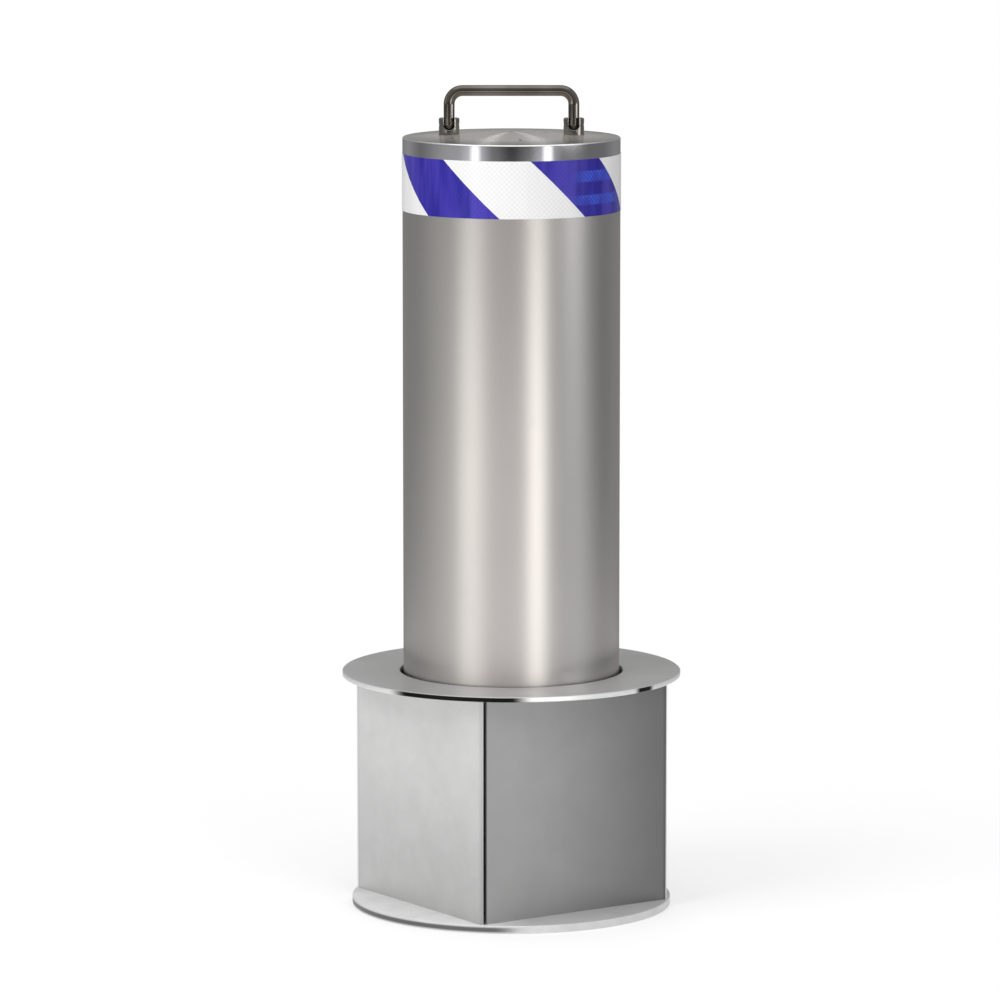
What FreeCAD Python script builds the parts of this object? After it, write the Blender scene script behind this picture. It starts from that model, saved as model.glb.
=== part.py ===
# Removable bollard: a round post that stands in a square ground socket and is locked by two bolts.
# Millimetres, +Z up, origin at the centre of the socket's underside, X along the handle's hinge line.
import FreeCAD, Part
import math
import os
import re
import Sketcher

from FreeCAD import Rotation, Vector

X_AXIS = Vector(1, 0, 0)
Y_AXIS = Vector(0, 1, 0)
Z_AXIS = Vector(0, 0, 1)

# Driving sizes, grouped by the piece that they belong to.
driving_sizes = [
    # Ground socket: bottom disc, square box and flange
    ("disc_margin", 1.6),
    ("disc_thickness", 8),
    ("drain_diameter", 60),
    ("box_clearance", 1.4),
    ("box_height", 227),
    ("box_turn", -10.8),
    ("panel_thickness", 2.5),
    ("corner_gap", 4),
    ("flange_width", 58.5),
    ("flange_thickness", 5),
    ("flange_hole_clearance", 3.5),
    ("edge_break", 0.8),
    # Tube and its reflective band
    ("tube_diameter", 219),
    ("tube_wall", 5),
    ("tube_length", 757),
    ("tape_height", 57),
    ("tape_thickness", 0.4),
    ("tape_glue", 0.1),
    ("tape_pairs", 4),
    ("blue_angle", 42.5),
    ("blue_start", -154.5),
    ("tape_slant_angle", 46.4),
    # Cap
    ("cap_rim", 16),
    ("cap_rise", 5.5),
    ("cap_chamfer", 1),
    ("cap_top_thickness", 6.6),
    ("cap_boss_diameter", 36),
    ("spigot_depth", 5),
    ("spigot_width", 8.3),
    # Lugs, their studs and the hinge pins
    ("lug_spacing", 125),
    ("lug_diameter", 20.7),
    ("lug_height", 17.7),
    ("lug_top_chamfer", 0.8),
    ("lug_seat_drop", 1.1),
    ("pivot_height", 10.7),
    ("pin_diameter", 5),
    ("stud_diameter", 8),
    ("stud_length", 17),
    ("washer_diameter", 16),
    ("washer_thickness", 1.6),
    ("nut_flats", 13),
    ("nut_thickness", 6.5),
    # Handle
    ("rod_diameter", 11),
    ("handle_rise", 34.4),
    ("bend_radius", 13.5),
    # Foot plate
    ("foot_recess", 2),
    ("foot_thickness", 6),
    ("foot_hole_diameter", 24),
    ("foot_hole_circle", 110),
    ("foot_hole_count", 4),
    # Welded tabs and the screws that hold the foot and the deck
    ("tab_count", 3),
    ("tab_width", 20),
    ("tab_depth", 17),
    ("tab_height", 14),
    ("screw_diameter", 6),
    ("screw_head_diameter", 10),
    ("screw_head_height", 6),
    ("screw_flat_head_diameter", 12),
    ("screw_socket", 5),
    ("screw_bite", 11),
    # Deck that carries the lock, and its bush
    ("deck_drop", 45),
    ("deck_thickness", 6),
    ("bush_wall", 3.5),
    ("bush_flange_diameter", 28),
    ("bush_flange_thickness", 2.7),
    ("bush_overhang", 4),
    # Locking bolts and their guides
    ("bolt_diameter", 16),
    ("bolt_tail", 10),
    ("bolt_setback", 0.5),
    ("bolt_chamfer", 1.5),
    ("bolt_headroom", 0.8),
    ("guide_setback", 6.5),
    ("guide_length", 30),
    ("guide_width", 34),
    ("guide_wall", 5),
    ("guide_edge_radius", 3),
    ("guide_screw_pitch", 16),
    # Cam and spindle
    ("cam_gap", 3),
    ("cam_wall", 5.7),
    ("cam_thickness", 6),
    ("cam_pin_diameter", 8),
    ("cam_pin_grip", 12),
    ("cam_throw", 25),
    ("cam_sweep", 90),
    ("hub_diameter", 28),
    ("hub_height", 11),
    ("spindle_diameter", 12),
    ("spindle_tail", 4),
    ("head_diameter", 16),
    ("head_height", 6.8),
    ("key_circle", 9),
    ("key_depth", 5),
    ("seal_thickness", 3),
    ("ring_thickness", 1.5),
    ("ring_width", 4),
    ("ring_groove", 1),
    # Clearances
    ("running_clearance", 0.3),
    ("screw_clearance", 0.2),
    ("press_clearance", 0.02),
    ("spigot_clearance", 0.2),
]

# Levels, radii and coordinates that follow from the driving sizes.
derived_sizes = [
    # Ground socket
    ("disc_radius", "box_half * sqrt(2) + disc_margin"),
    ("disc_shoulder", "disc_thickness - edge_break"),
    ("disc_edge", "disc_radius - edge_break"),
    ("drain_radius", "drain_diameter / 2"),
    ("box_inner", "tube_radius + box_clearance"),
    ("box_half", "box_inner + panel_thickness"),
    ("open_start", "corner_gap - box_inner"),
    ("flange_bottom", "disc_thickness + box_height"),
    ("flange_hole_radius", "tube_radius + flange_hole_clearance"),
    ("flange_radius", "flange_hole_radius + flange_width"),
    ("flange_edge", "flange_radius - edge_break"),
    ("flange_shoulder", "flange_thickness - edge_break"),
    ("flange_hole_edge", "flange_hole_radius + edge_break"),
    # Tube and band
    ("tube_radius", "tube_diameter / 2"),
    ("bore_radius", "tube_radius - tube_wall"),
    ("tube_top", "disc_thickness + tube_length"),
    ("tape_bottom", "tube_top - tape_height"),
    ("tape_inner", "tube_radius + tape_glue"),
    ("tape_outer", "tape_inner + tape_thickness"),
    # Cap, measured from the tube's top
    ("cone_radius", "tube_radius - cap_chamfer"),
    ("rim_shoulder", "cap_rim - cap_chamfer"),
    ("spigot_radius", "bore_radius - spigot_clearance"),
    ("spigot_bottom", "-spigot_depth"),
    ("recess_radius", "spigot_radius - spigot_width"),
    ("recess_top", "cap_rim + cap_rise * (1 - recess_radius / cone_radius) - cap_top_thickness"),
    ("boss_radius", "cap_boss_diameter / 2"),
    ("head_radius", "head_diameter / 2"),
    ("head_hole_radius", "head_radius + running_clearance"),
    ("head_hole_top", "cap_rim + cap_rise * (1 - head_hole_radius / cone_radius)"),
    ("head_bottom", "head_hole_top - head_height"),
    ("seal_top", "head_bottom - running_clearance"),
    ("seal_bottom", "seal_top - seal_thickness"),
    ("bush_bore", "spindle_diameter / 2 + running_clearance"),
    ("bush_radius", "bush_bore + bush_wall"),
    # Lugs
    ("lug_offset", "lug_spacing / 2"),
    ("lug_seat", "cap_rim + cap_rise * (1 - lug_offset / cone_radius) - lug_seat_drop"),
    ("pivot_level", "tube_top + lug_seat + pivot_height"),
    ("slot_radius", "rod_diameter / 2 + running_clearance"),
    ("lug_radius", "lug_diameter / 2"),
    ("lug_edge", "lug_radius - lug_top_chamfer"),
    ("lug_shoulder", "lug_height - lug_top_chamfer"),
    ("pin_radius", "pin_diameter / 2"),
    ("pin_half_length", "sqrt(lug_radius * lug_radius - pin_radius * pin_radius)"),
    ("rod_radius", "rod_diameter / 2"),
    ("stud_radius", "stud_diameter / 2"),
    ("washer_bottom", "tube_top + recess_top - washer_thickness"),
    ("nut_bottom", "washer_bottom - nut_thickness"),
    # Foot and tabs
    ("foot_bottom", "disc_thickness + foot_recess"),
    ("foot_top", "foot_bottom + foot_thickness"),
    ("foot_radius", "bore_radius - running_clearance"),
    ("foot_shoulder", "foot_thickness - edge_break"),
    ("foot_edge", "foot_radius - edge_break"),
    ("tab_circle", "bore_radius - tab_depth / 2"),
    ("tab_step", "360 / tab_count"),
    ("screw_radius", "screw_diameter / 2"),
    ("screw_head_radius", "screw_head_diameter / 2"),
    ("screw_flat_head_radius", "screw_flat_head_diameter / 2"),
    ("screw_flat_head_height", "screw_flat_head_radius - screw_radius"),
    ("tapped_radius", "screw_radius + press_clearance"),
    ("passing_radius", "screw_radius + screw_clearance"),
    # Deck, guides and bolts
    ("deck_bottom", "flange_bottom - deck_drop"),
    ("deck_top", "deck_bottom + deck_thickness"),
    ("deck_radius", "bore_radius - running_clearance"),
    ("bush_bottom", "deck_bottom - bush_overhang"),
    ("bush_top", "deck_top + bush_flange_thickness"),
    ("bush_barrel", "bush_radius - press_clearance"),
    ("bush_flange_radius", "bush_flange_diameter / 2"),
    ("bolt_radius", "bolt_diameter / 2"),
    ("bolt_hole_radius", "bolt_radius + running_clearance"),
    ("bolt_level", "flange_bottom - bolt_headroom - bolt_radius"),
    ("bolt_reach", "bore_radius - bolt_setback"),
    ("bolt_inner_reach", "cam_pin_start - bolt_tail"),
    ("bolt_shoulder", "bolt_reach - bolt_chamfer"),
    ("bolt_flat", "bolt_radius - bolt_chamfer"),
    ("guide_start", "bore_radius - guide_setback - guide_length"),
    ("guide_height", "bolt_level + bolt_radius + guide_wall - deck_top"),
    ("guide_middle", "guide_start + guide_length / 2"),
    # Cam and spindle
    ("cam_bottom", "deck_top + bush_flange_thickness + running_clearance"),
    ("cam_top", "cam_bottom + cam_thickness"),
    ("cam_radius", "guide_start - cam_gap"),
    ("cam_pin_radius", "cam_pin_diameter / 2"),
    ("cam_pin_end", "cam_radius - cam_wall - cam_pin_radius - running_clearance"),
    ("cam_pin_start", "cam_pin_end - cam_throw"),
    ("cam_bore", "spindle_radius + press_clearance"),
    ("hub_radius", "hub_diameter / 2"),
    ("hub_top", "cam_top + hub_height"),
    ("grub_level", "cam_top + hub_height / 2"),
    ("spindle_radius", "spindle_diameter / 2"),
    ("groove_radius", "spindle_radius - ring_groove"),
    ("ring_top", "bush_bottom - running_clearance"),
    ("ring_bottom", "ring_top - ring_thickness"),
    ("groove_bottom", "ring_bottom - press_clearance"),
    ("groove_top", "ring_top + press_clearance"),
    ("spindle_bottom", "ring_bottom - spindle_tail"),
    ("spindle_shoulder", "tube_top + head_bottom"),
    ("spindle_top", "spindle_shoulder + head_height"),
]

doc = FreeCAD.newDocument("RemovableBollard")
sheet = doc.addObject("Spreadsheet::Sheet", "Sizes")
size_names = {name for name, entry in driving_sizes + derived_sizes}


def fill_sheet():
    # Column A names a size and column B holds its value or its formula under that alias.
    entries = [(name, str(value)) for name, value in driving_sizes]
    entries += [(name, "=" + text) for name, text in derived_sizes]
    for row, (name, entry) in enumerate(entries, start=1):
        sheet.set(f"A{row}", name)
        sheet.set(f"B{row}", entry)
        sheet.setAlias(f"B{row}", name)
    doc.recompute()


fill_sheet()


def size(name):
    # A leading minus gives the mirrored coordinate.
    if name == "0":
        return 0.0
    if name.startswith("-"):
        return -size(name[1:])
    return float(sheet.get(name))


def formula(text):
    # Every size name in the text is looked up in the sheet.
    return re.sub(r"[a-z_]+", lambda word: "Sizes." + word[0] if word[0] in size_names else word[0], text)


def bind(item, **properties):
    for name, text in properties.items():
        item.setExpression(name, formula(text))
    return item


def place(item, x="0", y="0", z="0"):
    item.setExpression("Placement.Base.x", formula(x))
    item.setExpression("Placement.Base.y", formula(y))
    item.setExpression("Placement.Base.z", formula(z))
    return item


def turn(item, text):
    # Turns an object about the upright axis by an angle in degrees.
    item.Placement.Rotation = Rotation(Z_AXIS, 1)
    item.setExpression("Placement.Rotation.Angle", formula(text))
    return item


def new_body(label):
    return doc.addObject("PartDesign::Body", label)


def new_sketch(body, name, role):
    sketch = body.newObject("Sketcher::SketchObject", name)
    plane = next(item for item in body.Origin.OriginFeatures if item.Role == role)
    sketch.AttachmentSupport = (plane, [""])
    sketch.MapMode = "FlatFace"
    return sketch


def hold_point(sketch, kind, geometry, point, name):
    # Holds a point at a signed distance, given as a size name, from the sketch's origin.
    if name == "0":
        axis = -2 if kind == "DistanceX" else -1
        sketch.addConstraint(Sketcher.Constraint("PointOnObject", geometry, point, axis))
        return
    index = sketch.addConstraint(Sketcher.Constraint(kind, -1, 1, geometry, point, size(name)))
    label = f"{kind}_{geometry}_{point}"
    sketch.renameConstraint(index, label)
    sketch.setExpression("Constraints." + label, formula(name))


def hold_radius(sketch, geometry, name):
    index = sketch.addConstraint(Sketcher.Constraint("Radius", geometry, size(name)))
    label = f"Radius_{geometry}"
    sketch.renameConstraint(index, label)
    sketch.setExpression("Constraints." + label, formula(name))


def draw_outline(sketch, corners):
    # A closed outline of straight lines, whose corners are pairs of size names.
    spots = [Vector(size(across), size(up), 0) for across, up in corners]
    count = len(spots)
    for index in range(count):
        sketch.addGeometry(Part.LineSegment(spots[index], spots[(index + 1) % count]), False)
    for index in range(count):
        sketch.addConstraint(Sketcher.Constraint("Coincident", index, 2, (index + 1) % count, 1))
    for index, (across, up) in enumerate(corners):
        hold_point(sketch, "DistanceX", index, 1, across)
        hold_point(sketch, "DistanceY", index, 1, up)


def turned_body(label, corners):
    # A turned piece: a half section in the upright plane, revolved about Z.
    body = new_body(label)
    sketch = new_sketch(body, label + "_section", "XZ_Plane")
    draw_outline(sketch, corners)
    revolution = body.newObject("PartDesign::Revolution", label + "_turning")
    revolution.Profile = sketch
    revolution.ReferenceAxis = (sketch, ["V_Axis"])
    return body


def cylinder_in(body, kind, name, radius, height, x="0", y="0", z="0", along=None):
    # Adds or cuts a cylinder inside a body; along gives the axis of a lying one.
    feature = body.newObject(f"PartDesign::{kind}Cylinder", name)
    if along:
        feature.Placement.Rotation = Rotation(Z_AXIS, along)
    bind(feature, Radius=radius, Height=height)
    return place(feature, x, y, z)


def round_edges(body, name, base, chosen, radius):
    # Rounds the edges of a feature that the test picks out.
    doc.recompute()
    picked = [f"Edge{index}" for index, edge in enumerate(base.Shape.Edges, start=1) if chosen(edge)]
    rounding = body.newObject("PartDesign::Fillet", name)
    rounding.Base = (base, picked)
    return bind(rounding, Radius=radius)


def is_upright(edge):
    first, last = edge.Vertexes[0].Point, edge.Vertexes[-1].Point
    return abs(first.x - last.x) < 1e-6 and abs(first.y - last.y) < 1e-6 and len(edge.Vertexes) == 2


def cylinder(name, radius, height, x="0", y="0", z="0", along=None):
    item = doc.addObject("Part::Cylinder", name)
    if along:
        item.Placement.Rotation = Rotation(Z_AXIS, along)
    bind(item, Radius=radius, Height=height)
    return place(item, x, y, z)


def cut(label, base, tool):
    item = doc.addObject("Part::Cut", label)
    item.Base = base
    item.Tool = tool
    return item


def joined(label, kind, pieces):
    # Fuses pieces into one solid, or keeps them apart as one group, or as one tool.
    item = doc.addObject(kind, label)
    if kind == "Part::Compound":
        item.Links = pieces
    else:
        item.Shapes = pieces
    return item


def ring(label, outer, inner, height, z):
    base = cylinder(label + "_outside", outer, height, z=z)
    hole = cylinder(label + "_inside", inner, height, z=z)
    return cut(label, base, hole)


def hexagon(name, flats, height, x="0", y="0", z="0"):
    item = doc.addObject("Part::Prism", name)
    item.Polygon = 6
    bind(item, Circumradius=f"({flats}) / sqrt(3)", Height=height)
    return place(item, x, y, z)


# Ground socket


def make_base_disc():
    return turned_body("base_disc", [
        ("drain_radius", "0"), ("disc_radius", "0"), ("disc_radius", "disc_shoulder"),
        ("disc_edge", "disc_thickness"), ("drain_radius", "disc_thickness")])


def make_panel(label, quarter, start):
    # Each panel runs through to one corner. Its other end closes on the next panel or leaves a gap there.
    body = new_body(label)
    sketch = new_sketch(body, label + "_outline", "XY_Plane")
    draw_outline(sketch, [
        ("box_inner", start), ("box_half", start), ("box_half", "box_half"), ("box_inner", "box_half")])
    sheet_metal = body.newObject("PartDesign::Pad", label + "_sheet")
    sheet_metal.Profile = sketch
    bind(sheet_metal, Length="box_height")
    turn(body, f"box_turn + 45 + {90 * quarter}")
    return place(body, z="disc_thickness")


def make_socket_flange():
    body = turned_body("socket_flange", [
        ("flange_hole_radius", "0"), ("flange_edge", "0"), ("flange_radius", "edge_break"),
        ("flange_radius", "flange_shoulder"), ("flange_edge", "flange_thickness"),
        ("flange_hole_edge", "flange_thickness"), ("flange_hole_radius", "flange_shoulder")])
    return place(body, z="flange_bottom")


# Post


def make_post_tube():
    body = new_body("post_tube")
    cylinder_in(body, "Additive", "tube_outside", "tube_radius", "tube_length")
    cylinder_in(body, "Subtractive", "tube_inside", "bore_radius", "tube_length")
    cylinder_in(body, "Subtractive", "bolt_holes", "bolt_hole_radius", "tube_diameter + 2",
                x="-tube_radius - 1", z="bolt_level - disc_thickness", along=X_AXIS)
    turn(body, "box_turn")
    return place(body, z="disc_thickness")


def make_cap_plate():
    body = turned_body("cap_plate", [
        ("tube_radius", "0"), ("tube_radius", "rim_shoulder"), ("cone_radius", "cap_rim"),
        ("head_hole_radius", "head_hole_top"), ("head_hole_radius", "seal_top"),
        ("bush_radius", "seal_top"), ("bush_radius", "0"), ("boss_radius", "0"),
        ("boss_radius", "recess_top"), ("recess_radius", "recess_top"),
        ("recess_radius", "spigot_bottom"), ("spigot_radius", "spigot_bottom"), ("spigot_radius", "0")])
    for side, sign in (("left", "-"), ("right", "")):
        cylinder_in(body, "Subtractive", f"stud_hole_{side}", "stud_radius + screw_clearance", "cap_rim + cap_rise",
                    x=f"{sign}lug_offset")
        cylinder_in(body, "Subtractive", f"lug_seat_{side}", "lug_radius + screw_clearance", "cap_rim + cap_rise",
                    x=f"{sign}lug_offset", z="lug_seat")
    return place(body, z="tube_top")


def make_lug(label, sign):
    # A turned clevis with a round-bottomed slot for the handle and a stud below.
    body = turned_body(label, [
        ("0", "-stud_length"), ("stud_radius", "-stud_length"), ("stud_radius", "0"), ("lug_radius", "0"),
        ("lug_radius", "lug_shoulder"), ("lug_edge", "lug_height"), ("0", "lug_height")])
    cylinder_in(body, "Subtractive", label + "_slot_bottom", "slot_radius", "lug_diameter",
                y="-lug_radius", z="pivot_height", along=Y_AXIS)
    slot = body.newObject("PartDesign::SubtractiveBox", label + "_slot")
    bind(slot, Length="2 * slot_radius", Width="lug_diameter", Height="lug_height")
    place(slot, "-slot_radius", "-lug_radius", "pivot_height")
    cylinder_in(body, "Subtractive", label + "_pin_hole", "pin_radius + press_clearance", "lug_diameter",
                x="-lug_radius", z="pivot_height", along=X_AXIS)
    return place(body, x=f"{sign}lug_offset", z="tube_top + lug_seat")


def make_hinge_pin(label, sign):
    return cylinder(label, "pin_radius", "2 * pin_half_length", x=f"{sign}lug_offset - pin_half_length",
                    z="pivot_level", along=X_AXIS)


def make_lug_washers():
    washers = []
    for side, sign in (("left", "-"), ("right", "")):
        outside = cylinder(f"washer_outside_{side}", "washer_diameter / 2", "washer_thickness",
                           x=f"{sign}lug_offset", z="washer_bottom")
        inside = cylinder(f"washer_inside_{side}", "stud_radius + screw_clearance", "washer_thickness",
                          x=f"{sign}lug_offset", z="washer_bottom")
        washers.append(cut(f"washer_{side}", outside, inside))
    return joined("lug_washers", "Part::Compound", washers)


def make_lug_nuts():
    nuts = []
    for side, sign in (("left", "-"), ("right", "")):
        outside = hexagon(f"nut_outside_{side}", "nut_flats", "nut_thickness",
                          x=f"{sign}lug_offset", z="nut_bottom")
        inside = cylinder(f"nut_thread_{side}", "stud_radius + press_clearance", "nut_thickness",
                          x=f"{sign}lug_offset", z="nut_bottom")
        nuts.append(cut(f"nut_{side}", outside, inside))
    return joined("lug_nuts", "Part::Compound", nuts)


def slanted_wedge(start):
    # A wedge that spans one field of the band and leans sideways as it goes up.
    half_height = size("tape_height") / 2
    lean = half_height * math.tan(math.radians(size("tape_slant_angle")))
    inner, outer = 0.7 * size("tube_radius"), 1.3 * size("tube_radius")
    rims = []
    for side in (-1, 1):
        corners = []
        for reach, edge in ((inner, 0), (outer, 0), (outer, 1), (inner, 1)):
            angle = math.radians(start + edge * size("blue_angle"))
            outwards = Vector(math.cos(angle), math.sin(angle), 0)
            sideways = Vector(-math.sin(angle), math.cos(angle), 0)
            level = Vector(0, 0, size("tape_bottom") + half_height + side * half_height)
            corners.append(outwards * reach - sideways * lean * side + level)
        rims.append(Part.makePolygon(corners + corners[:1]))
    return Part.makeLoft(rims, True, True)


def make_tape():
    # The band is cut into white fields and blue fields that lie edge to edge.
    pairs = int(size("tape_pairs"))
    wedges = [slanted_wedge(size("blue_start") + pair * 360 / pairs) for pair in range(pairs)]
    fields = doc.addObject("Part::Feature", "blue_fields")
    fields.Shape = Part.makeCompound(wedges)
    blue = doc.addObject("Part::Common", "tape_blue")
    blue.Base = ring("blue_band", "tape_outer", "tape_inner", "tape_height", "tape_bottom")
    blue.Tool = fields
    white = cut("tape_white", ring("white_band", "tape_outer", "tape_inner", "tape_height", "tape_bottom"),
                fields)
    return blue, white


def make_spindle_bush():
    return ring("spindle_bush_top", "bush_radius - press_clearance", "bush_bore", "seal_bottom", "tube_top")


def make_spindle_seal():
    return ring("spindle_seal", "bush_radius - press_clearance", "bush_bore", "seal_thickness",
                "tube_top + seal_bottom")


def tab_place(index):
    # Tabs stand round the bore, the first of them square to the locking bolts.
    return f"box_turn + 90 + {index} * tab_step"


def make_tabs(label, bottom, drilled_from):
    # Blocks welded to the inside of the tube, each with one tapped hole.
    tabs = []
    for index in range(int(size("tab_count"))):
        block = doc.addObject("Part::Box", f"{label}_block_{index}")
        bind(block, Length="2 * tab_depth", Width="tab_width", Height="tab_height")
        place(block, "bore_radius - tab_depth", "-tab_width / 2", bottom)
        bore = cylinder(f"{label}_bore_{index}", "bore_radius", "tab_height", z=bottom)
        fitted = doc.addObject("Part::Common", f"{label}_fitted_{index}")
        fitted.Base = block
        fitted.Tool = bore
        thread = cylinder(f"{label}_thread_{index}", "tapped_radius", "tab_height",
                          x="tab_circle", z=drilled_from)
        tab = cut(f"{label}_{index}", fitted, thread)
        tabs.append(place(turn(tab, tab_place(index))))
    return joined(label, "Part::Compound", tabs)


def make_foot_plate():
    body = turned_body("foot_plate", [
        ("0", "0"), ("foot_edge", "0"), ("foot_radius", "edge_break"), ("foot_radius", "foot_shoulder"),
        ("foot_edge", "foot_thickness"), ("0", "foot_thickness")])
    for index in range(int(size("foot_hole_count"))):
        angle = f"({index} + 0.5) * 360 / foot_hole_count"
        cylinder_in(body, "Subtractive", f"drain_{index}", "foot_hole_diameter / 2", "foot_thickness",
                    x=f"foot_hole_circle / 2 * cos({angle})", y=f"foot_hole_circle / 2 * sin({angle})")
    for index in range(int(size("tab_count"))):
        angle = f"90 + {index} * tab_step"
        across, along = f"tab_circle * cos({angle})", f"tab_circle * sin({angle})"
        cylinder_in(body, "Subtractive", f"screw_hole_{index}", "passing_radius", "foot_thickness",
                    x=across, y=along)
        sink = body.newObject("PartDesign::SubtractiveCone", f"countersink_{index}")
        bind(sink, Radius1="screw_flat_head_radius + screw_clearance", Radius2="passing_radius",
             Height="screw_flat_head_height")
        place(sink, across, along)
    turn(body, "box_turn")
    return place(body, z="foot_bottom")


def make_foot_screws():
    screws = []
    for index in range(int(size("tab_count"))):
        head = doc.addObject("Part::Cone", f"foot_screw_head_{index}")
        bind(head, Radius1="screw_flat_head_radius", Radius2="screw_radius", Height="screw_flat_head_height")
        place(head, x="tab_circle", z="foot_bottom")
        shank = cylinder(f"foot_screw_shank_{index}", "screw_radius", "foot_thickness + screw_bite",
                         x="tab_circle", z="foot_bottom")
        blank = joined(f"foot_screw_blank_{index}", "Part::MultiFuse", [head, shank])
        socket = hexagon(f"foot_screw_socket_{index}", "screw_socket * 0.8", "screw_flat_head_height * 0.7",
                         x="tab_circle", z="foot_bottom")
        screws.append(place(turn(cut(f"foot_screw_{index}", blank, socket), tab_place(index))))
    return joined("foot_screws", "Part::Compound", screws)


def make_deck_screw(name, across, angle):
    # A socket screw driven up through the deck from below.
    head = cylinder(name + "_head", "screw_head_radius", "screw_head_height",
                    x=across, z="deck_bottom - screw_head_height")
    shank = cylinder(name + "_shank", "screw_radius", "deck_thickness + screw_bite", x=across, z="deck_bottom")
    blank = joined(name + "_blank", "Part::MultiFuse", [head, shank])
    socket = hexagon(name + "_socket", "screw_socket", "screw_head_height / 2",
                     x=across, z="deck_bottom - screw_head_height")
    return place(turn(cut(name, blank, socket), angle))


def guide_screw_spots():
    # Two screws stand in line under each guide.
    return [(side, f"guide_middle {sign} guide_screw_pitch / 2") for side in (0, 180) for sign in "-+"]


def make_deck_plate():
    body = turned_body("deck_plate", [
        ("bush_radius", "0"), ("deck_radius", "0"), ("deck_radius", "deck_thickness"),
        ("bush_radius", "deck_thickness")])
    for index in range(int(size("tab_count"))):
        angle = f"90 + {index} * tab_step"
        cylinder_in(body, "Subtractive", f"tab_hole_{index}", "passing_radius", "deck_thickness",
                    x=f"tab_circle * cos({angle})", y=f"tab_circle * sin({angle})")
    for index, (side, across) in enumerate(guide_screw_spots()):
        cylinder_in(body, "Subtractive", f"guide_hole_{index}", "passing_radius", "deck_thickness",
                    x=f"({across}) * cos({side})")
    turn(body, "box_turn")
    return place(body, z="deck_bottom")


def make_deck_screws():
    screws = [make_deck_screw(f"deck_screw_{index}", "tab_circle", tab_place(index))
              for index in range(int(size("tab_count")))]
    return joined("deck_screws", "Part::Compound", screws)


def make_guide_screws():
    screws = [make_deck_screw(f"guide_screw_{index}", across, f"box_turn + {side}")
              for index, (side, across) in enumerate(guide_screw_spots())]
    return joined("guide_screws", "Part::Compound", screws)


def make_deck_bush():
    return turned_body("deck_bush", [
        ("bush_bore", "bush_bottom"), ("bush_barrel", "bush_bottom"), ("bush_barrel", "deck_top"),
        ("bush_flange_radius", "deck_top"), ("bush_flange_radius", "bush_top"), ("bush_bore", "bush_top")])


def make_bolt_guide(label, side):
    # A block with a bore for its bolt, screwed down on the deck.
    body = new_body(label)
    block = body.newObject("PartDesign::AdditiveBox", label + "_block")
    bind(block, Length="guide_length", Width="guide_width", Height="guide_height")
    place(block, "guide_start", "-guide_width / 2", "deck_top")
    round_edges(body, label + "_rounding", block, is_upright, "guide_edge_radius")
    cylinder_in(body, "Subtractive", label + "_bore", "bolt_hole_radius", "guide_length",
                x="guide_start", z="bolt_level", along=X_AXIS)
    for index, sign in enumerate("-+"):
        cylinder_in(body, "Subtractive", f"{label}_thread_{index}", "tapped_radius", "screw_bite + 1",
                    x=f"guide_middle {sign} guide_screw_pitch / 2", z="deck_top")
    return place(turn(body, f"box_turn + {side}"))


# Handle


def make_handle():
    # A round rod bent to a U, with a round end and a pin hole at the foot of each leg.
    body = new_body("handle")
    path = new_sketch(body, "handle_path", "XZ_Plane")
    half, rise, bend = size("lug_offset"), size("handle_rise"), size("bend_radius")
    low = rise - bend
    path.addGeometry(Part.LineSegment(Vector(-half, 0, 0), Vector(-half, low, 0)), False)
    circle = Part.Circle(Vector(bend - half, low, 0), Z_AXIS, bend)
    path.addGeometry(Part.ArcOfCircle(circle, math.pi / 2, math.pi), False)
    path.addGeometry(Part.LineSegment(Vector(bend - half, rise, 0), Vector(half - bend, rise, 0)), False)
    circle = Part.Circle(Vector(half - bend, low, 0), Z_AXIS, bend)
    path.addGeometry(Part.ArcOfCircle(circle, 0, math.pi / 2), False)
    path.addGeometry(Part.LineSegment(Vector(half, low, 0), Vector(half, 0, 0)), False)
    for joint in ((0, 2, 1, 2), (1, 1, 2, 1), (2, 2, 3, 2), (3, 1, 4, 1)):
        path.addConstraint(Sketcher.Constraint("Tangent", *joint))
    for leg in (0, 4):
        path.addConstraint(Sketcher.Constraint("Vertical", leg))
    path.addConstraint(Sketcher.Constraint("Equal", 1, 3))
    hold_point(path, "DistanceX", 0, 1, "-lug_offset")
    hold_point(path, "DistanceY", 0, 1, "0")
    hold_point(path, "DistanceY", 2, 1, "handle_rise")
    hold_point(path, "DistanceX", 4, 2, "lug_offset")
    hold_point(path, "DistanceY", 4, 2, "0")
    hold_radius(path, 1, "bend_radius")
    section = new_sketch(body, "handle_section", "XY_Plane")
    section.addGeometry(Part.Circle(Vector(-half, 0, 0), Z_AXIS, size("rod_radius")), False)
    hold_point(section, "DistanceX", 0, 3, "-lug_offset")
    hold_point(section, "DistanceY", 0, 3, "0")
    hold_radius(section, 0, "rod_radius")
    rod = body.newObject("PartDesign::AdditivePipe", "handle_rod")
    rod.Profile = section
    rod.Spine = (path, [])
    for side, sign in (("left", "-"), ("right", "")):
        end = body.newObject("PartDesign::AdditiveSphere", f"handle_end_{side}")
        bind(end, Radius="rod_radius")
        place(end, x=f"{sign}lug_offset")
        cylinder_in(body, "Subtractive", f"handle_pin_hole_{side}", "pin_radius + running_clearance / 2",
                    "rod_diameter + 2", x=f"{sign}lug_offset - rod_radius - 1", along=X_AXIS)
    return place(body, z="pivot_level")


# Lock


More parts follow.
